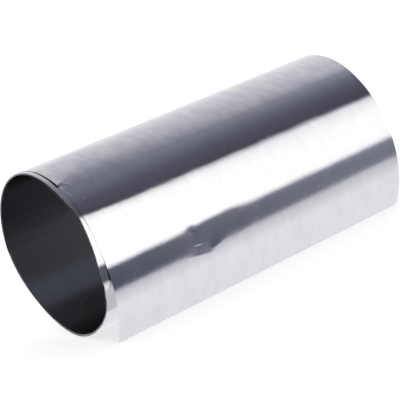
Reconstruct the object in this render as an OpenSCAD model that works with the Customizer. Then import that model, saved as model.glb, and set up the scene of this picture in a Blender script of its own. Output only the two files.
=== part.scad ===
// Roll of steel shim stock: one strip of foil wound on a mandrel and taken off it, so the
// roll is a thin tube of turns round an open bore. The outer end of the strip has sprung
// loose, and its free edge rests on the floor in front of the roll.
// The roll's axis is X, its front is -Y, and the origin is on the axis at half its width.

/* [Foil] */
// Width of the strip, which is the length of the roll
foil_width = 152.4; // [50:0.1:305]
// Thickness of one layer of foil
gauge = 0.025; // [0.02:0.005:0.1]
// Air trapped between two layers
air_film = 0.04; // [0.02:0.005:0.06]

/* [Winding] */
// Diameter of the bore, as the winding mandrel left it
bore_d = 69; // [40:0.1:120]
// Bands of turns, each standing at its own place along the axis
bands = 4; // [3:1:8]
// Turns of foil in one band
turns_per_band = 3; // [2:1:8]
// How far the inner bands have slid out of the outer one
slide = 1.4; // [0.5:0.1:5]
// Further slide from one inner band to the next one in
stagger = 0.25; // [0.1:0.05:1]

/* [Loose end] */
// How much larger the loose end's radius is than the roll's
tail_spring = 10; // [6:0.1:20]
// Angle that the loose end sweeps about its own centre
tail_sweep = 89; // [50:1:110]

/* [Hidden] */
$fn = 180;

band_t = turns_per_band * (gauge + air_film);
bore_r = bore_d / 2;
roll_r = bore_r + bands * band_t;

// The outer band reaches half a band into the one under it, which makes them one solid.
lap = band_t / 2;

// The loose end is an arc of its own radius. Its root lies inside the outer band, so that
// it grows out of the roll's surface without a step.
tail_t = 0.6 * band_t;
root_depth = 0.2 * band_t;
tail_r = roll_r + tail_spring;
tail_offset = tail_r - (roll_r - root_depth);

// Place of the free edge from the roll's axis, with the root on the first axis.
edge = tail_r * [cos(tail_sweep), sin(tail_sweep)] - [tail_offset, 0];

// Turn of the loose end about the roll that brings its free edge level with the roll's
// lowest line, in front of the roll.
root_angle = 180 + asin(roll_r / norm(edge)) - atan2(edge.y, edge.x);

// Distance that an inner band stands out of the outer band's near end, towards -X.
function band_slide(band) = slide + stagger * (bands - 2 - band);

// Outline of the inner bands in radius and distance along the axis: the near end is a
// stair of bands from the bore outwards, and the far end is the same stair coming back.
function inner_outline() = concat(
    [for (band = [0 : bands - 2], side = [0, 1])
        [bore_r + (band + side) * band_t, -foil_width / 2 - band_slide(band)]],
    [for (band = [bands - 2 : -1 : 0], side = [1, 0])
        [bore_r + (band + side) * band_t, foil_width / 2 - band_slide(band)]]
);

// Turns a shape made along Z to the roll's axis, with its X and Y as the roll's Y and Z.
module along_roll() {
    rotate([90, 0, 90]) children();
}

// The bands inside the outer one, as one turned wall with a stepped edge at each end.
module inner_bands() {
    along_roll()
        rotate_extrude()
            polygon(inner_outline());
}

// Section of the loose end: an arc strip from its root to its free edge.
module tail_section() {
    reach = 2 * tail_r;
    rotate(root_angle)
        translate([-tail_offset, 0])
            intersection() {
                difference() {
                    circle(tail_r);
                    circle(tail_r - tail_t);
                }
                polygon([
                    [0, 0],
                    [reach, 0],
                    reach * [cos(tail_sweep / 2), sin(tail_sweep / 2)],
                    reach * [cos(tail_sweep), sin(tail_sweep)]
                ]);
            }
}

// The outer band and the loose end that grows out of it, as one section through the roll.
module outer_band() {
    along_roll()
        linear_extrude(foil_width, center = true)
            union() {
                difference() {
                    circle(roll_r);
                    circle(roll_r - band_t - lap);
                }
                tail_section();
            }
}

module shim_roll() {
    color("silver") {
        inner_bands();
        outer_band();
    }
}

shim_roll();
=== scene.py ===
import math

import bpy
import numpy as np
from mathutils import Matrix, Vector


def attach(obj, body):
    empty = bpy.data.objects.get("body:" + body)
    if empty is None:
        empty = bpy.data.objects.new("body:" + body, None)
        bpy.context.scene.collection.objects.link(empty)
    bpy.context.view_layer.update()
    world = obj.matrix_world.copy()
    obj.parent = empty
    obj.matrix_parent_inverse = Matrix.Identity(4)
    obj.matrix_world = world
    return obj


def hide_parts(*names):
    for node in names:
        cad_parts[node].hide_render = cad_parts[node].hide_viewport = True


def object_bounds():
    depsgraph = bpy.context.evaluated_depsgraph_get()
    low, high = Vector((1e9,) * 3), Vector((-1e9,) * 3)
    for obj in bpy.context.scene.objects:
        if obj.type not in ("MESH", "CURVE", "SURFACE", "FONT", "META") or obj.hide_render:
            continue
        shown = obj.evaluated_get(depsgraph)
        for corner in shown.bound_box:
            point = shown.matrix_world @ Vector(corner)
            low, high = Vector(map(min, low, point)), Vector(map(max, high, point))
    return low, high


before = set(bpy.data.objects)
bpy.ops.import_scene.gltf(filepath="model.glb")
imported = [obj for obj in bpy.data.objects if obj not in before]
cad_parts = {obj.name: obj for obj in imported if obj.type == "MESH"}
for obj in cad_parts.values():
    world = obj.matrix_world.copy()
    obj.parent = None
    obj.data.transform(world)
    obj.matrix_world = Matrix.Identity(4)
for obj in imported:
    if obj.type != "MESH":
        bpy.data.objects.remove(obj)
cad_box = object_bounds()

MM = 0.001
DEG = math.radians(1.0)
TURN = 2.0 * math.pi

# Sizes of the roll, the same as the part's source gives them.
FOIL_WIDTH = 152.4 * MM
GAUGE = 0.025 * MM
AIR_FILM = 0.04 * MM
BORE_R = 34.5 * MM
TURNS = 12
TAIL_SPRING = 10.0 * MM
TAIL_SWEEP = 89.0 * DEG

# What follows from those sizes.
PITCH = GAUGE + AIR_FILM
ROLL_R = BORE_R + TURNS * PITCH
TAIL_R = ROLL_R + TAIL_SPRING
NEAR_END = -FOIL_WIDTH / 2
FAR_END = FOIL_WIDTH / 2

# Length of the strip up to the loose end's root, with every turn as long as the last.
ROOT_LENGTH = TURNS * TURN * ROLL_R

# The loose end springs from the roll at an angle that brings its free edge down to the
# roll's lowest line. The free edge is first placed with the root on the Y axis.
EDGE_Y = TAIL_R * math.cos(TAIL_SWEEP) - TAIL_SPRING
EDGE_Z = TAIL_R * math.sin(TAIL_SWEEP)
EDGE_R = math.hypot(EDGE_Y, EDGE_Z)
ROOT_ANGLE = math.pi + math.asin(ROLL_R / EDGE_R) - math.atan2(EDGE_Z, EDGE_Y)
LAST_TURN_ANGLE = ROOT_ANGLE - TURN

# Where the outer piece takes over from the inner one, in turns from the bore.
OUTER_START = 10.9

# Segments round one inner turn, strips across the inner and the outer piece, and rings
# along the outer piece before and after the root.
TURN_STEPS = 240
INNER_STRIPS = 10
OUTER_STRIPS = 120
LAST_TURN_RINGS = 190
TAIL_RINGS = 208

# Edges between faces that meet at more than this angle stay sharp.
SHARP_FROM = 40.0 * DEG

# Name of the map that gives a place's metres along the strip and across it.
STRIP_MAP = "strip"

# How far the turns slid out along the axis, and the turns over which the slide ends. Round
# the roll it is more or less, by bells of a height, a middle and a spread.
SLID_OUT = 1.9 * MM
SLID_MORE = [
    (-1.0 * MM, 151.0 * DEG, 13.0 * DEG),
    (1.3 * MM, 189.0 * DEG, 14.0 * DEG),
    (-0.8 * MM, 215.0 * DEG, 14.0 * DEG),
    (-0.9 * MM, 300.0 * DEG, 45.0 * DEG),
]
SLIDE_ENDS = 11.4, 11.85

# How far each turn wanders along the axis before and after the slide ends, and the waves
# that it follows: share, rate for each turn, and start.
SLID_WANDER = 0.22 * MM
LAST_WANDER = 0.06 * MM
WANDER_WAVES = [(0.6, 2.1, 0.0), (0.4, 4.7, 1.0)]

# How the winding follows the loose end out: the gap that it keeps, the least room, its
# limits at two angles, and how sharply it goes over from the room to the limit.
TAIL_GAP = 0.03 * MM
LEAST_ROOM = 0.001 * MM
FOLLOW_ANGLES = 150.0 * DEG, 196.0 * DEG
FOLLOW_LIMITS = 1.1 * MM, 4.32 * MM
FOLLOW_SHARPNESS = 16.0

# How the winding comes back in: the share of each fall, where it starts and where it ends.
FOLLOW_FALLS = [
    (0.36, 194.0 * DEG, 205.0 * DEG),
    (0.22, 205.0 * DEG, 214.0 * DEG),
    (1.0, 212.0 * DEG, 255.0 * DEG),
]

# How far and where the winding is drawn in low at the back, and how much rounder the far
# end is than the near one.
DRAWN_IN = 2.6 * MM
DRAWN_RISE = 240.0 * DEG, 302.0 * DEG
DRAWN_FALL = 314.0 * DEG, 370.0 * DEG
ROUNDER_FAR = 0.6

# The low swell at the near end.
SWELL_HEIGHT = 0.3 * MM
SWELL_REACH = 14.0 * MM
SWELL_ANGLE = 139.4 * DEG
SWELL_SPREAD = 12.0 * DEG

# Middle of the dent in the loose end, along the axis and about the loose end's centre.
DENT_X = -34.0 * MM
DENT_ANGLE = 183.4 * DEG

# The dent's hollows: height, place and spread. Here and in the creases, heights and widths
# are millimetres, and a place is millimetres along the axis and degrees about the loose
# end's centre. One hollow starts at a kink.
DENT_HOLLOWS = [
    (-0.07, (-26.0, 176.9), (10.0, 4.0)),
    (-0.04, (-17.5, 184.8), (5.0, 3.5)),
    (-0.08, (-35.6, 175.9), (2.4, 3.0)),
]
KINKED_HOLLOWS = [(-0.06, (-14.0, 176.4), (7.0, 4.0))]
KINK = -20.5 * MM, -18.5 * MM

# The dent's creases: height, two ends and width.
DENT_CREASES = [
    (0.034, (-36.8, 182.8), (-32.0, 183.7), 0.3),
    (0.018, (-35.4, 175.0), (-32.8, 176.6), 0.35),
]

# The flat spot in the dent: its ends along the axis, its middle line, the depths and half
# widths that it grows through, and the slant of its far end above one angle.
FLAT_START = -44.5 * MM
FLAT_FULL = -34.0 * MM
FLAT_FADES = -30.0 * MM
FLAT_END = -24.6 * MM
FLAT_ANGLE = 184.2 * DEG
FLAT_DEEPEST = -28.0 * MM
FLAT_DEPTHS = 0.016 * MM, 0.214 * MM
FLAT_WIDEST = -24.0 * MM
FLAT_HALF_WIDTHS = 2.61 * DEG, 7.12 * DEG
SLANT_ANGLE = 188.0 * DEG
SLANT = 1.6 * MM / DEG

# The near edge of the last turn stands off from one angle on and comes down in a fold,
# which runs aslant, away from the edge.
LIFT_START = 93.0 * DEG
LIFT_HEIGHT = 0.6 * MM
LIFT_REACH = 4.5 * MM
LIFT_POWER = 1.3
FOLD_ANGLE = 124.9 * DEG
FOLD_SLANT = 0.9 * DEG / MM
FOLD_BEFORE = 1.0 * DEG
FOLD_AFTER = 2.5 * DEG

# The pocket in the fold and the creases beside it, given as in the dent.
FOLD_POCKETS = [(-0.08, (-74.3, 126.6), (1.6, 1.8))]
FOLD_CREASES = [
    (0.07, (-73.3, 123.9), (-71.5, 127.7), 0.4),
    (0.09, (-72.2, 140.4), (-70.2, 138.4), 0.45),
    (0.04, (-75.9, 130.9), (-74.6, 135.9), 0.35),
]

# The near edge lies back beside the fold.
INSET = 0.7 * MM
INSET_REACH = 8.0 * MM
INSET_ANGLE = 143.4 * DEG
INSET_SPREAD = 15.0 * DEG

# The gentle waves in the outer piece: height, the angle over which they come up, and for
# each wave its share, run along the axis, rate about it and start.
RIPPLE_HEIGHT = 0.010 * MM
RIPPLE_RISE = 18.0 * DEG
RIPPLE_WAVES = [
    (1.0, 5.9 * MM, 2.0, 0.0),
    (1.0, 3.3 * MM, -5.0, 1.3),
    (0.6, 11.0 * MM, 9.0, 0.4),
]

# Where rings before the root, rings after it and strips lie closer together in the outer
# piece: how much closer, the middle and the spread.
CLOSE_WOUND = [(6.0, TURNS, 0.035)]
CLOSE_SWEPT = [
    (5.0, DENT_ANGLE - ROOT_ANGLE, 4.5 * DEG),
    (3.0, FOLD_ANGLE - ROOT_ANGLE, 12.0 * DEG),
]
CLOSE_ACROSS = [(6.0, DENT_X, 5.0 * MM), (6.0, NEAR_END, 7.0 * MM)]
GRADING_STEPS = 4001


def bell(value, middle, spread):
    """A smooth bell that is 1 at the middle and falls off over the spread."""
    return np.exp(-((value - middle) / spread) ** 2)


def bells(value, parts):
    """Bells added together, each of its own height, middle and spread."""
    return sum(height * bell(value, middle, spread) for height, middle, spread in parts)


def soft_step(value, start, end):
    """A smooth climb from 0 at start to 1 at end."""
    t = np.clip((value - start) / (end - start), 0.0, 1.0)
    return t * t * (3.0 - 2.0 * t)


def rise_and_fall(value, rise, fall):
    """A smooth climb to 1 over the rise, and a smooth drop back to 0 over the fall."""
    return soft_step(value, *rise) * (1.0 - soft_step(value, *fall))


def graded(start, end, count, places):
    """Numbers from start to end whose spacing closes up round each place: the density is
    1 plus a bell at each, and equal shares of its running sum give the numbers."""
    fine = np.linspace(start, end, GRADING_STEPS)
    density = 1.0 + bells(fine, places)
    total = np.concatenate([[0.0], np.cumsum((density[1:] + density[:-1]) / 2)])
    return np.interp(np.linspace(0.0, total[-1], count), total, fine)


def round_from_root(angle):
    """The angle brought to within the one turn that starts at the loose end's root."""
    return ROOT_ANGLE + (angle - ROOT_ANGLE) % TURN


def from_near_end(x):
    """How far a place lies from the foil's near edge, and 0 for what stands out past it."""
    return np.maximum(x - NEAR_END, 0.0)


def turn_slide(turn, angle):
    """How far a turn lies from its place along the axis. Up to the middle of the last turn
    it has slid out, by an even way plus bells round the roll. All along, it wanders by two
    sine waves over the count of turns."""
    held = soft_step(turn, *SLIDE_ENDS)
    wander = sum(share * np.sin(rate * turn + start) for share, rate, start in WANDER_WAVES)
    out = SLID_OUT + bells(round_from_root(angle), SLID_MORE)
    return (1.0 - held) * (SLID_WANDER * wander - out) + held * LAST_WANDER * wander


def room_under_tail(past):
    """How far the loose end's arc stands off the round roll, at an angle past its root. Its
    distance from the roll's axis is the root of the arc's own equation."""
    sideways = TAIL_SPRING * np.sin(past)
    return np.sqrt(TAIL_R ** 2 - sideways ** 2) - TAIL_SPRING * np.cos(past) - ROLL_R


def out_of_round(angle, x):
    """How far the wound turns stand out from a true circle. In front they follow the loose
    end out, by the lesser of the room under it and a limit that climbs with the angle. High
    negative powers of the two are added, and the root of the sum goes over softly from one
    to the other. The turns come back in by three soft falls, and low at the back they are
    drawn in. The roll is roundest at its far end."""
    around = round_from_root(angle)
    room = np.maximum(room_under_tail(around - ROOT_ANGLE) - TAIL_GAP, LEAST_ROOM)
    limit = np.interp(around, FOLLOW_ANGLES, FOLLOW_LIMITS)
    power = -FOLLOW_SHARPNESS
    follow = (room ** power + limit ** power) ** (1.0 / power)
    for share, start, end in FOLLOW_FALLS:
        follow = follow * (1.0 - share * soft_step(around, start, end))
    drawn_in = DRAWN_IN * rise_and_fall(around, DRAWN_RISE, DRAWN_FALL)
    fade = 1.0 - ROUNDER_FAR * soft_step(x, NEAR_END, FAR_END)
    return fade * (follow - drawn_in)


def near_end_swell(angle, x):
    """Height of a low swell in front of the roll's top at its near end, in every turn: a
    bell round the roll that dies away along it."""
    off_middle = (angle - SWELL_ANGLE + math.pi) % TURN - math.pi
    along = np.exp(-from_near_end(x) / SWELL_REACH)
    return SWELL_HEIGHT * along * bell(off_middle, 0.0, SWELL_SPREAD)


def wound_curve(turn):
    """The wound part of the strip as a spiral: the angle runs on by one turn for each
    turn, and the radius grows by one pitch. Gives the angle and the radius."""
    angle = ROOT_ANGLE + (turn - TURNS) * TURN
    radius = BORE_R + GAUGE / 2 + PITCH * turn
    return angle, radius


def sheet_points(angle, radius, centre, x):
    """Points of foil bent about an axis along X: the angle and radius are taken about the
    centre in Y and Z."""
    y = centre[0] + radius * np.cos(angle)
    z = centre[1] + radius * np.sin(angle)
    return np.stack([x, y, z], axis=-1)


def grid_normals(points):
    """Unit normals of a grid of points, from the cross product of its two directions."""
    along = np.gradient(points, axis=0)
    across = np.gradient(points, axis=1)
    normal = np.cross(across, along)
    return normal / np.linalg.norm(normal, axis=-1, keepdims=True)


def strip_mesh(name, points, across, length):
    """A strip of foil as one closed skin. The points are the middle of the foil, for every
    ring along the strip and every line across it. The outer side is the middle plus half
    the gauge along the normal, the inner side is the middle minus it, and the two are
    joined along both edges and both ends. The strip's map gets each ring's length along
    the strip and each line's place across it."""
    rings, lines = points.shape[:2]
    half = grid_normals(points) * GAUGE / 2
    loop = np.concatenate([points + half, (points - half)[:, ::-1]], axis=1)
    count = loop.shape[1]
    ring = np.arange(rings - 1)[:, None]
    side = np.arange(count)[None, :]
    nxt = (side + 1) % count
    quads = np.stack([ring * count + side, (ring + 1) * count + side,
                      (ring + 1) * count + nxt, ring * count + nxt], axis=-1).reshape(-1, 4)
    cap = np.arange(lines - 1)
    first = np.stack([cap, cap + 1, count - 2 - cap, count - 1 - cap], axis=-1)
    last = first[:, ::-1] + (rings - 1) * count
    faces = np.concatenate([quads, first, last])
    mesh = bpy.data.meshes.new(name)
    mesh.vertices.add(rings * count)
    mesh.vertices.foreach_set("co", loop.reshape(-1).astype(np.float32))
    mesh.loops.add(faces.size)
    mesh.loops.foreach_set("vertex_index", faces.reshape(-1).astype(np.int32))
    mesh.polygons.add(len(faces))
    mesh.polygons.foreach_set("loop_start", np.arange(0, faces.size, 4, dtype=np.int32))
    mesh.update(calc_edges=True)
    mesh.validate()
    map_along = np.repeat(length[:, None], count, axis=1).reshape(-1)
    map_across = np.concatenate([across, across[:, ::-1]], axis=1).reshape(-1)
    places = np.stack([map_along, map_across], axis=-1)[faces.reshape(-1)]
    layer = mesh.uv_layers.new(name=STRIP_MAP)
    layer.data.foreach_set("uv", places.reshape(-1).astype(np.float32))
    mesh.polygons.foreach_set("use_smooth", np.ones(len(faces), dtype=bool))
    mesh.set_sharp_from_angle(angle=SHARP_FROM)
    piece = bpy.data.objects.new(name, mesh)
    bpy.context.scene.collection.objects.link(piece)
    return piece


def wound_turns():
    """The inner turns: a spiral strip from the bore to the start of the outer piece. Its
    length is the spiral's, from the mean radius of the turns so far."""
    rings = int(round(OUTER_START * TURN_STEPS)) + 1
    turn = np.linspace(0.0, OUTER_START, rings)
    across = np.linspace(NEAR_END, FAR_END, INNER_STRIPS + 1)
    turn_grid, across_grid = np.meshgrid(turn, across, indexing="ij")
    angle, radius = wound_curve(turn_grid)
    x = across_grid + turn_slide(turn_grid, angle)
    height = out_of_round(angle, x) + near_end_swell(angle, x)
    spot = sheet_points(angle, radius + height, (0.0, 0.0), x)
    length = TURN * turn * (BORE_R + PITCH * turn / 2)
    return strip_mesh("wound_turns", spot, across_grid, length)


def on_foil(place):
    """A place given in millimetres and degrees, as lengths along the axis and round the
    loose end's arc."""
    return np.array([place[0] * MM, place[1] * DEG * TAIL_R])


def crease(angle, x, start, end, width):
    """A bell across the line between two places on the loose end, with soft ends."""
    line = on_foil(end) - on_foil(start)
    size = np.linalg.norm(line)
    line = line / size
    way = np.stack([x, angle * TAIL_R], axis=-1) - on_foil(start)
    run = way @ line
    off = way @ np.array([-line[1], line[0]])
    return bell(run, size / 2, size / 2) * bell(off, 0.0, width * MM)


def creases(angle, x, parts):
    """Creases added together, each of its own height, ends and width."""
    return sum(height * MM * crease(angle, x, *line) for height, *line in parts)


def hollows(angle, x, parts):
    """Hollows added together: each is a bell along the axis times a bell round the loose
    end's arc, of its own height, place and spread."""
    return sum(height * MM * bell(x, place[0] * MM, spread[0] * MM)
               * bell(angle, place[1] * DEG, spread[1] * DEG)
               for height, place, spread in parts)


def flat_spot(angle, x):
    """Height of the flat spot in the dent: a parabola that ends sharply below its middle
    line, and a bell that dies away above it. Along the axis it comes up, gets deeper and
    wider, and dies away at a slanted end."""
    end = FLAT_END + SLANT * np.maximum(SLANT_ANGLE - angle, 0.0)
    reach = rise_and_fall(x, (FLAT_START, FLAT_FULL), (FLAT_FADES, end))
    depth = np.interp(x, (FLAT_START, FLAT_DEEPEST), FLAT_DEPTHS)
    half = np.interp(x, (FLAT_START, FLAT_WIDEST), FLAT_HALF_WIDTHS)
    off_middle = (angle - FLAT_ANGLE) / half
    below = np.clip(1.0 - off_middle ** 2, 0.0, 1.0)
    above = bell(off_middle, 0.0, 1.0)
    return -depth * reach * np.where(off_middle > 0.0, below, above)


def dent(angle, x):
    """Height of the dent in the loose end: shallow hollows that run together, one of them
    from a kink on, two sharp little creases, and a flat spot."""
    kink = soft_step(x, *KINK)
    return (hollows(angle, x, DENT_HOLLOWS) + kink * hollows(angle, x, KINKED_HOLLOWS)
            + creases(angle, x, DENT_CREASES) + flat_spot(angle, x))


def ripple(angle, x):
    """Height of the gentle waves that thin foil keeps: three crossing sine waves."""
    return RIPPLE_HEIGHT * sum(share * np.sin(x / run + rate * angle + start)
                               for share, run, rate, start in RIPPLE_WAVES)


def near_edge_lift(angle, x):
    """Height of the last turn's near edge over the turns under it: the edge stands off,
    more and more round the roll and less and less away from the edge, comes back in a
    short fold and is crinkled beside that."""
    edge = from_near_end(x)
    fold = FOLD_ANGLE - FOLD_SLANT * edge
    climb = np.clip((angle - LIFT_START) / (FOLD_ANGLE - LIFT_START), 0.0, 1.0)
    lifted = climb * (1.0 - soft_step(angle, fold - FOLD_BEFORE, fold + FOLD_AFTER))
    stand_off = LIFT_HEIGHT * np.exp(-(edge / LIFT_REACH) ** LIFT_POWER) * lifted
    return stand_off + hollows(angle, x, FOLD_POCKETS) + creases(angle, x, FOLD_CREASES)


def near_edge_inset(angle, x):
    """How far the near edge of the last turn lies back along the axis beside the fold: a
    bell round the roll that dies away from the edge."""
    rim = np.exp(-from_near_end(x) / INSET_REACH)
    return INSET * rim * bell(angle, INSET_ANGLE, INSET_SPREAD)


def outer_wrap():
    """The last turn and the loose end: the spiral goes on to the root, and from there the
    foil is an arc of the loose end's own radius, tangent to the roll at the root. The
    strip's length counts every turn as long as the last."""
    wound = graded(OUTER_START, TURNS, LAST_TURN_RINGS, CLOSE_WOUND)
    swept = graded(0.0, TAIL_SWEEP, TAIL_RINGS + 1, CLOSE_SWEPT)[1:]
    across = graded(NEAR_END, FAR_END, OUTER_STRIPS + 1, CLOSE_ACROSS)
    wound_angle, wound_r = wound_curve(wound)
    root_r = wound_curve(TURNS)[1]
    tail_r = TAIL_R - GAUGE / 2
    angle = np.concatenate([wound_angle, ROOT_ANGLE + swept])
    radius = np.concatenate([wound_r, np.full(TAIL_RINGS, tail_r)])[:, None]
    shift = np.concatenate([np.zeros(LAST_TURN_RINGS), np.full(TAIL_RINGS, root_r - tail_r)])
    centre = [(shift * turned(ROOT_ANGLE))[:, None] for turned in (math.cos, math.sin)]
    angle_grid, x = np.meshgrid(angle, across, indexing="ij")
    shown = soft_step(angle_grid, LAST_TURN_ANGLE, LAST_TURN_ANGLE + RIPPLE_RISE)
    height = (dent(angle_grid, x) + near_edge_lift(angle_grid, x)
              + near_end_swell(angle_grid, x) + shown * ripple(angle_grid, x))
    place = x + near_edge_inset(angle_grid, x)
    last_turn = slice(LAST_TURN_RINGS)
    place[last_turn] += turn_slide(wound[:, None], angle_grid[last_turn])
    height[last_turn] += out_of_round(angle_grid[last_turn], place[last_turn])
    spot = sheet_points(angle_grid, radius + height, centre, place)
    length = np.concatenate([wound * TURN * ROLL_R, ROOT_LENGTH + swept * tail_r])
    return strip_mesh("outer_wrap", spot, x, length)


# Noise on the foil: patches in one metre along the strip and across it, and detail.
LINES = 40.0, 130.0, 2.0
HAIRS = 40.0, 2400.0, 2.0
CLOUDS = 60.0, 110.0, 3.0
WARM_PATCHES = 34.0, 70.0, 1.0
GRAIN = 260.0, 240.0, 2.0
MOTTLE = 110.0, 240.0, 2.0
NOISE_ROUGHNESS = 0.55

# Colours of the foil: plain steel, a warm tint, stains, and dust, whose film in the bore also
# paints shade there.
BLACK = (0.0, 0.0, 0.0, 1.0)
WHITE = (1.0, 1.0, 1.0, 1.0)
DARK_STEEL = (0.685, 0.683, 0.7, 1.0)
LIGHT_STEEL = (0.735, 0.735, 0.745, 1.0)
WARM_STEEL = (0.722, 0.698, 0.712, 1.0)
COOL_STAIN = (0.635, 0.645, 0.70, 1.0)
WARM_STAIN = (0.765, 0.755, 0.735, 1.0)
# The dust film's colour, which also paints shade low in the bore.
DUST_AND_SHADE_FILM = (0.5, 0.5, 0.505, 1.0)
DUST_SPECK = (0.5, 0.5, 0.5, 1.0)

# Shares of the lines, hairs and clouds in the steel's colour, and the noise levels over
# which the steel gets lighter, warmer and stained.
LINES_SHARE = 0.5
HAIRS_SHARE = 0.2
CLOUDS_SHARE = 0.3
LIGHTER = 0.34, 0.66
WARMER = 0.42, 0.7
WARM_SHARES = 0.0, 0.5
STAINED = 0.38, 0.64

# The foil is stained by handling over a length before the root.
HANDLED_FROM = ROOT_LENGTH - 80.0 * MM, ROOT_LENGTH - 45.0 * MM
HANDLED_MORE = 0.25, 1.0
HANDLED_TO = ROOT_LENGTH - 8.0 * MM, ROOT_LENGTH + 8.0 * MM
HANDLED_LESS = 0.8, 0.2

# The first turn's end, as lengths along the strip over which its own finish goes over
# to the outer one.
FIRST_TURN_END = TURN * BORE_R, TURN * BORE_R + 4.0 * MM

# The specks: cells in one metre, how far a speck reaches in its cell, and the level of the
# cell's random colour above which it holds one. Dust needs this much of the film of dust and
# painted shade.
SPECK_CELLS = 330.0
SPECK_R = 0.045
SPECK_ABOVE = 0.98
DUST_R = 0.06
DUST_ABOVE = 0.8
DUST_AND_SHADE_FILM_ABOVE = 0.3

# Roughness: the noise levels and what they give, what a speck adds, and that of the bore.
GLOSS_LEVELS = 0.3, 0.7
CLOUDS_GLOSS = 0.05, 0.095
HAIRS_GLOSS = -0.01, 0.012
SPECK_GLOSS = 0.5
BORE_GLOSS = 0.17

# The fine relief: its height, and the share of the grain in it beside the clouds.
RELIEF_HEIGHT = 0.012 * MM
GRAIN_SHARE = 0.7

# Painted light in the bore, a glow that stands for the light bounced deep in it: how often a
# ray has to be mirrored first, the share that each further reflection keeps, and the crossings
# over which it goes from dimmer to full.
MIRRORED_OVER = 1.5
KEPT_SHARE = 0.537
DIM_CROSSING = 60.0 * MM, 70.0 * MM
DIM_SHARES = 0.68, 1.0
PAINTED_BORE_LIGHT = (0.116, 0.1144, 0.131, 1.0)

# The painted band of light low in front in the bore: its angles, and the crossings that find
# it.
PAINTED_BAND_LIGHT = (0.102, 0.111, 0.147, 1.0)
BAND_RISE = -174.0 * DEG, -152.0 * DEG
BAND_FALL = -130.0 * DEG, -108.0 * DEG
BAND_CROSSING = 63.0 * MM, 69.0 * MM

# Dust film in the bore, which also paints shade low in it: its middle line, the cosines off it
# over which it starts, and its two ends along the axis.
DUST_AND_SHADE_ANGLE = -71.0 * DEG
DUST_AND_SHADE_COSINES = 0.92, 0.97
DUST_AND_SHADE_START = -75.0 * MM, -58.0 * MM
DUST_AND_SHADE_END = -50.0 * MM, -44.0 * MM

# Results that climb from nothing to the whole, and that drop back.
UP = 0.0, 1.0
DOWN = 1.0, 0.0


def combined(tree, operation, *values):
    """One or two values or numbers, put through a Math node."""
    node = tree.nodes.new("ShaderNodeMath")
    node.operation = operation
    for socket, value in zip(node.inputs, values):
        if isinstance(value, float):
            socket.default_value = value
        else:
            tree.links.new(value, socket)
    return node.outputs["Value"]


def product(tree, first, *others):
    """Values or numbers multiplied together."""
    for other in others:
        first = combined(tree, "MULTIPLY", first, other)
    return first


def total(tree, first, *others):
    """Values or numbers added together."""
    for other in others:
        first = combined(tree, "ADD", first, other)
    return first


def without(tree, share):
    """What a share from 0 to 1 leaves of the whole."""
    return combined(tree, "SUBTRACT", 1.0, share)


def ranged(tree, value, levels, results=UP):
    """A value carried from between two levels to between two results, and held there."""
    node = tree.nodes.new("ShaderNodeMapRange")
    sockets = "From Min", "From Max", "To Min", "To Max"
    for socket, number in zip(sockets, levels + results):
        node.inputs[socket].default_value = number
    tree.links.new(value, node.inputs["Value"])
    return node.outputs["Result"]


def tinted(tree, factor, first, second):
    """A colour between two others, by a factor from 0 to 1."""
    node = tree.nodes.new("ShaderNodeMix")
    node.data_type = "RGBA"
    tree.links.new(factor, node.inputs[0])
    ends = [socket for socket in node.inputs if socket.type == "RGBA"]
    for socket, colour in zip(ends, (first, second)):
        if isinstance(colour, tuple):
            socket.default_value = colour
        else:
            tree.links.new(colour, socket)
    return [socket for socket in node.outputs if socket.type == "RGBA"][0]


def split_up(tree, vector):
    """The X, Y and Z of a vector."""
    node = tree.nodes.new("ShaderNodeSeparateXYZ")
    tree.links.new(vector, node.inputs["Vector"])
    return [node.outputs[axis] for axis in "XYZ"]


def about_axis(tree, coordinates):
    """How far a place lies along the roll's axis, and its angle about it, which is the
    arctangent of Z over Y."""
    spot = tree.nodes.new("ShaderNodeTexCoord")
    x, y, z = split_up(tree, spot.outputs[coordinates])
    return x, combined(tree, "ARCTAN2", z, y)


def on_strip(tree):
    """A place's metres along the strip and across it."""
    spread = tree.nodes.new("ShaderNodeUVMap")
    spread.uv_map = STRIP_MAP
    return spread.outputs["UV"]


def strip_noise(tree, along, across, detail):
    """Noise laid on the strip: along and across are how many patches of it fit in one
    metre of the strip's length and of its width."""
    fit = tree.nodes.new("ShaderNodeMapping")
    fit.inputs["Scale"].default_value = (along, across, 1.0)
    tree.links.new(on_strip(tree), fit.inputs["Vector"])
    noise = tree.nodes.new("ShaderNodeTexNoise")
    noise.noise_dimensions = "2D"
    noise.inputs["Scale"].default_value = 1.0
    noise.inputs["Detail"].default_value = detail
    noise.inputs["Roughness"].default_value = NOISE_ROUGHNESS
    tree.links.new(fit.outputs["Vector"], noise.inputs["Vector"])
    return noise.outputs["Fac"]


def painted_bore_glow(tree, crossing):
    """Painted light: a glow for rays that the bore has mirrored twice, standing for the light
    left in the bore after those reflections. Each further one keeps the same share, and their
    number goes with the way left to the far end, divided by the length of the ray's last
    crossing of the bore. Rays that cross close to the wall find the painted glow dimmer, and
    the others find a cooler painted band low in front."""
    x, around = about_axis(tree, "Object")
    way_left = combined(tree, "SUBTRACT", FAR_END, x)
    crossings = combined(tree, "DIVIDE", way_left, crossing)
    kept = combined(tree, "POWER", KEPT_SHARE, crossings)
    share = product(tree, kept, ranged(tree, crossing, DIM_CROSSING, DIM_SHARES))
    # Painted glow, dimmer for rays that cross close to the wall, then a cooler painted band
    # low in front.
    dim = tinted(tree, share, BLACK, PAINTED_BORE_LIGHT)
    rise = ranged(tree, around, BAND_RISE)
    fall = ranged(tree, around, BAND_FALL, DOWN)
    band = product(tree, rise, fall, ranged(tree, crossing, BAND_CROSSING))
    return tinted(tree, band, dim, PAINTED_BAND_LIGHT)


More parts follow.
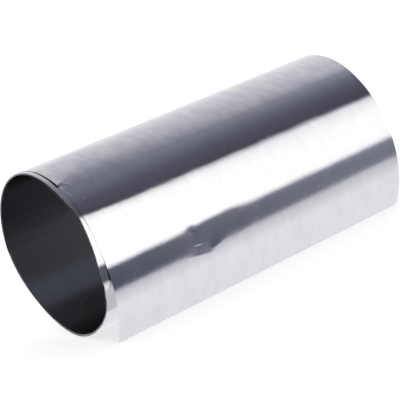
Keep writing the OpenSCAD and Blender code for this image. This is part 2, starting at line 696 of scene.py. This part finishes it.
def bore_dust_and_shade(tree):
    """Where the dust film lies in the bore, from 0 to 1: low behind, near the near end, where
    it also paints shade. The cosine of the angle off its middle line and the place along the
    axis give its soft edges."""
    x, around = about_axis(tree, "Object")
    off_middle = combined(tree, "SUBTRACT", around, DUST_AND_SHADE_ANGLE)
    low = ranged(tree, combined(tree, "COSINE", off_middle), DUST_AND_SHADE_COSINES)
    start = ranged(tree, x, DUST_AND_SHADE_START)
    end = ranged(tree, x, DUST_AND_SHADE_END, DOWN)
    return product(tree, low, start, end)


def brushed_colour(tree, lines, hairs, clouds):
    """Colour of the plain steel: it goes from dark to light by the sum of three noises, and
    a fourth one lays warm patches over it."""
    streak = total(tree, product(tree, lines, LINES_SHARE), product(tree, hairs, HAIRS_SHARE),
                   product(tree, clouds, CLOUDS_SHARE))
    steel = tinted(tree, ranged(tree, streak, LIGHTER), DARK_STEEL, LIGHT_STEEL)
    warm = ranged(tree, strip_noise(tree, *WARM_PATCHES), WARMER, WARM_SHARES)
    return tinted(tree, warm, steel, WARM_STEEL)


def stained_colour(tree, length, steel):
    """Colour of the steel with the stains that handling leaves: cool and warm patches of
    noise, strongest over a length before the root."""
    start = ranged(tree, length, HANDLED_FROM, HANDLED_MORE)
    end = ranged(tree, length, HANDLED_TO, HANDLED_LESS)
    mottle = ranged(tree, strip_noise(tree, *MOTTLE), STAINED)
    stain = tinted(tree, mottle, COOL_STAIN, WARM_STAIN)
    return tinted(tree, product(tree, start, end), steel, stain)


def specks(tree, film):
    """Round specks in cells on the strip, as two masks. A few dull ones lie all over the foil,
    and more of dust where the film of dust and painted shade lies. A cell holds one if its
    random colour is above a level, and a speck reaches a set way from the cell's own point."""
    cells = tree.nodes.new("ShaderNodeTexVoronoi")
    cells.voronoi_dimensions = "2D"
    cells.inputs["Scale"].default_value = SPECK_CELLS
    tree.links.new(on_strip(tree), cells.inputs["Vector"])
    pick = tree.nodes.new("ShaderNodeSeparateColor")
    tree.links.new(cells.outputs["Color"], pick.inputs["Color"])
    off = cells.outputs["Distance"]
    dull = product(tree, combined(tree, "LESS_THAN", off, SPECK_R),
                   combined(tree, "GREATER_THAN", pick.outputs["Red"], SPECK_ABOVE))
    dust = product(tree, combined(tree, "LESS_THAN", off, DUST_R),
                   combined(tree, "GREATER_THAN", pick.outputs["Green"], DUST_ABOVE),
                   combined(tree, "GREATER_THAN", film, DUST_AND_SHADE_FILM_ABOVE))
    return dull, dust


def foil_roughness(tree, hairs, clouds, dull, inside):
    """Roughness of the foil: clouds, hairs and dull specks outside, and one even value in
    the bore."""
    gloss = total(tree, ranged(tree, clouds, GLOSS_LEVELS, CLOUDS_GLOSS),
                  ranged(tree, hairs, GLOSS_LEVELS, HAIRS_GLOSS),
                  product(tree, dull, SPECK_GLOSS))
    return total(tree, product(tree, gloss, without(tree, inside)),
                 product(tree, inside, BORE_GLOSS))


def foil_relief(tree, clouds, inside):
    """Fine relief of the foil outside the bore, from grain and clouds."""
    relief = tree.nodes.new("ShaderNodeBump")
    relief.inputs["Strength"].default_value = 1.0
    relief.inputs["Distance"].default_value = RELIEF_HEIGHT
    height = total(tree, product(tree, strip_noise(tree, *GRAIN), GRAIN_SHARE), clouds)
    tree.links.new(product(tree, height, without(tree, inside)), relief.inputs["Height"])
    return relief.outputs["Normal"]


def rolled_steel(name):
    """Bright rolled steel foil: metal with fine lines along the strip, cloudy changes of
    gloss, a faint warm tint, stains from handling and a few dull specks. The first turn has
    dust on it, with a film low in the bore that also paints shade there. For rays that the
    bore has mirrored twice, the first turn turns black and glows with painted light, in place
    of what it would mirror further on."""
    material = bpy.data.materials.new(name)
    material.use_nodes = True
    tree = material.node_tree
    lines = strip_noise(tree, *LINES)
    hairs = strip_noise(tree, *HAIRS)
    clouds = strip_noise(tree, *CLOUDS)
    length = split_up(tree, on_strip(tree))[0]
    inside = ranged(tree, length, FIRST_TURN_END, DOWN)
    path = tree.nodes.new("ShaderNodeLightPath")
    mirrored = path.outputs["Glossy Depth"]
    # Rays mirrored twice in the first turn get black steel and a painted glow in its place.
    painted_glow_mask = product(tree, inside, combined(tree, "GREATER_THAN", mirrored, MIRRORED_OVER))
    # Film of dust low in the bore, which also paints shade there.
    film = product(tree, inside, bore_dust_and_shade(tree))
    dull, dust = specks(tree, film)
    steel = stained_colour(tree, length, brushed_colour(tree, lines, hairs, clouds))
    # The film darkens the steel low in the bore: dust with painted shade.
    steel = tinted(tree, film, steel, DUST_AND_SHADE_FILM)
    steel = tinted(tree, dust, steel, DUST_SPECK)
    finish = {
        # Painted glow: black base colour and emission for rays mirrored deep in the bore.
        "Base Color": tinted(tree, painted_glow_mask, steel, BLACK),
        "Metallic": without(tree, dust),
        "Roughness": foil_roughness(tree, hairs, clouds, dull, inside),
        "Normal": foil_relief(tree, clouds, inside),
        "Emission Color": painted_bore_glow(tree, path.outputs["Ray Length"]),
        "Emission Strength": painted_glow_mask,
    }
    shader = tree.nodes["Principled BSDF"]
    for socket, value in finish.items():
        tree.links.new(value, shader.inputs[socket])
    return material


# Light round the roll's axis, as degrees up from the back and light level: a bright back
# wall, a dim room overhead, one broad soft box in front, a dark gap and a white table. The
# soft box and the gap have sharp edges beside the camera, and soft ones further along.
BANDS_BESIDE = [
    (0, 0.95), (17, 0.86), (41, 0.68), (53, 0.60), (65, 0.475), (77, 0.30), (87, 0.22),
    (96, 0.21), (112, 0.12), (128.6, 0.08), (131.2, 1.25), (139, 1.48), (181.4, 1.48),
    (184.4, 0.95), (186.4, 0.20), (188, 0.135), (204, 0.115), (208, 0.17), (210.6, 0.58),
    (214, 0.77), (220, 0.92), (228, 1.05), (254, 1.0), (360, 0.95),
]
BANDS_ALONG = [
    (0, 0.95), (29, 0.88), (53, 0.76), (75, 0.64), (84, 0.51), (90, 0.34), (100, 0.21),
    (108, 0.145), (118, 0.10), (130, 0.08), (132.2, 0.42), (134.8, 1.0), (140, 1.2),
    (150, 1.35), (170, 1.45), (181.6, 1.36), (184.6, 0.95), (187.2, 0.38), (189.2, 0.285),
    (196, 0.245), (204, 0.26), (207, 0.36), (209.4, 0.64), (213, 0.77), (228, 1.02),
    (254, 1.03), (290, 1.0), (360, 0.95),
]
FULL_CIRCLE = 360.0

# Where one ramp goes over to the other, as the part of a direction along the axis.
ALONG_FROM = 0.47, 0.63

# Tint of the light, as shares of its level: the levels between pale and full light, the
# shares in full light, what pale light and the dark add, and where the dark is more or
# less red, by bells over the degrees.
PALE_LEVELS = 1.0, 1.3
FULL_RED = 0.995
FULL_BLUE = 0.985
PALE_RED = 0.012
PALE_BLUE = 0.06
DARK_RED = -0.035
DARK_BLUE = 0.36
REDDER = [(0.1, 125.0, 10.0), (-0.035, 197.0, 10.0)]

# The floor and the lamp above it.
FLOOR_HALF = 3.0
FLOOR_GREY = (0.4, 0.4, 0.4, 1.0)
FLOOR_GLOW = 0.62
LAMP_HEIGHT = 1.6
LAMP_ENERGY = 2.0
LAMP_ANGLE = 120.0 * DEG

# The camera, as it was fitted with the loose end in the air: its direction, distance and
# lens in millimetres, and its shift in pixels of a picture this wide. The roll is turned
# about its axis by the rest turn to where the loose end rests.
AZIMUTH = -39.57 * DEG
ELEVATION = 32.959 * DEG
DISTANCE = 636.69 * MM
REST_TURN = 25.9 * DEG
SENSOR_WIDTH = 36.0
FOCAL_LENGTH = 135.0
PICTURE_PIXELS = 400.0
SHIFT_PIXELS_X = -1.31
SHIFT_PIXELS_Y = -11.71
NEAREST_SEEN = 0.01


def light_colour(degrees, level):
    """Colour of the light at a place round the axis. Green is the level. Red and blue are
    the level times shares of their own, which change below full light and, by the square
    of what the level lacks, in the dark."""
    pale = np.interp(level, PALE_LEVELS, DOWN)
    dark = max(0.0, 1.0 - level) ** 2
    red = FULL_RED + PALE_RED * pale + (DARK_RED + bells(degrees, REDDER)) * dark
    blue = FULL_BLUE + PALE_BLUE * pale + DARK_BLUE * dark
    return (level * red, level, level * blue, 1.0)


def light_bands(tree, around, levels):
    """A ramp of light round the roll's axis, from pairs of degrees and light level."""
    ramp = tree.nodes.new("ShaderNodeValToRGB")
    stops = ramp.color_ramp.elements
    while len(stops) < len(levels):
        stops.new(1.0)
    for stop, (degrees, level) in zip(stops, levels):
        stop.position = degrees / FULL_CIRCLE
        stop.color = light_colour(degrees, level)
    tree.links.new(around, ramp.inputs["Fac"])
    return ramp.outputs["Color"]


def lit_by_angle(world):
    """The studio round the roll: a light that depends on the angle about the roll's axis,
    so its bands run along the roll, and that changes slowly along the axis. The camera
    itself sees plain white."""
    world.use_nodes = True
    tree = world.node_tree
    nodes, links = tree.nodes, tree.links
    nodes.clear()
    x, around = about_axis(tree, "Generated")
    part = combined(tree, "FRACT", combined(tree, "DIVIDE", around, TURN))
    beside = light_bands(tree, part, BANDS_BESIDE)
    along = light_bands(tree, part, BANDS_ALONG)
    studio = nodes.new("ShaderNodeBackground")
    links.new(tinted(tree, ranged(tree, x, ALONG_FROM), beside, along), studio.inputs["Color"])
    backdrop = nodes.new("ShaderNodeBackground")
    backdrop.inputs["Color"].default_value = WHITE
    path = nodes.new("ShaderNodeLightPath")
    mix = nodes.new("ShaderNodeMixShader")
    links.new(path.outputs["Is Camera Ray"], mix.inputs[0])
    links.new(studio.outputs["Background"], mix.inputs[1])
    links.new(backdrop.outputs["Background"], mix.inputs[2])
    out = nodes.new("ShaderNodeOutputWorld")
    links.new(mix.outputs["Shader"], out.inputs["Surface"])


def pale_floor():
    """A wide flat floor at the roll's lowest line. The roll's shadow falls on it."""
    low = cad_box[0][2]
    corners = [(-1.0, -1.0), (1.0, -1.0), (1.0, 1.0), (-1.0, 1.0)]
    spots = [(FLOOR_HALF * x, FLOOR_HALF * y, low) for x, y in corners]
    mesh = bpy.data.meshes.new("floor")
    mesh.from_pydata(spots, [], [(0, 1, 2, 3)])
    floor = bpy.data.objects.new("floor", mesh)
    bpy.context.scene.collection.objects.link(floor)
    material = bpy.data.materials.new("pale_floor")
    material.use_nodes = True
    shader = material.node_tree.nodes["Principled BSDF"]
    shader.inputs["Base Color"].default_value = FLOOR_GREY
    shader.inputs["Roughness"].default_value = 1.0
    shader.inputs["Specular IOR Level"].default_value = 0.0
    shader.inputs["Emission Color"].default_value = WHITE
    shader.inputs["Emission Strength"].default_value = FLOOR_GLOW
    mesh.materials.append(material)
    floor.visible_glossy = False


def overhead_lamp():
    """A broad even lamp straight above, which lights the floor and stays out of
    reflections."""
    lamp = bpy.data.lights.new("overhead", "SUN")
    lamp.angle = LAMP_ANGLE
    lamp.energy = LAMP_ENERGY
    holder = bpy.data.objects.new("overhead", lamp)
    holder.location = (0.0, 0.0, LAMP_HEIGHT)
    bpy.context.scene.collection.objects.link(holder)
    holder.visible_glossy = False
    holder.visible_camera = False


def photo_camera():
    """The camera at the photo's place. It was found level with the loose end in the air,
    and is turned with the roll about the roll's axis to where the loose end rests."""
    back = np.array([math.sin(AZIMUTH) * math.cos(ELEVATION),
                     -math.cos(AZIMUTH) * math.cos(ELEVATION), math.sin(ELEVATION)])
    right = np.cross([0.0, 0.0, 1.0], back)
    right /= np.linalg.norm(right)
    up = np.cross(back, right)
    turn = np.array(Matrix.Rotation(REST_TURN, 3, "X"))
    axes = turn @ np.stack([right, up, back], axis=1)
    place = np.eye(4)
    place[:3, :3] = axes
    place[:3, 3] = axes[:, 2] * DISTANCE
    lens = bpy.data.cameras.new("photo_camera")
    lens.sensor_width = SENSOR_WIDTH
    lens.lens = FOCAL_LENGTH
    lens.shift_x = SHIFT_PIXELS_X / PICTURE_PIXELS
    lens.shift_y = SHIFT_PIXELS_Y / PICTURE_PIXELS
    lens.clip_start = NEAREST_SEEN
    holder = bpy.data.objects.new("photo_camera", lens)
    holder.matrix_world = Matrix(place.tolist())
    bpy.context.scene.collection.objects.link(holder)
    bpy.context.scene.camera = holder


photo_camera()
pale_floor()
overhead_lamp()
studio_world = bpy.data.worlds.new("studio")
bpy.context.scene.world = studio_world
lit_by_angle(studio_world)

foil = rolled_steel("bright_foil")
for piece in (wound_turns(), outer_wrap()):
    piece.data.materials.append(foil)
    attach(piece, "root")
    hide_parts("shim_roll")

bpy.context.scene.view_settings.view_transform = "Standard"
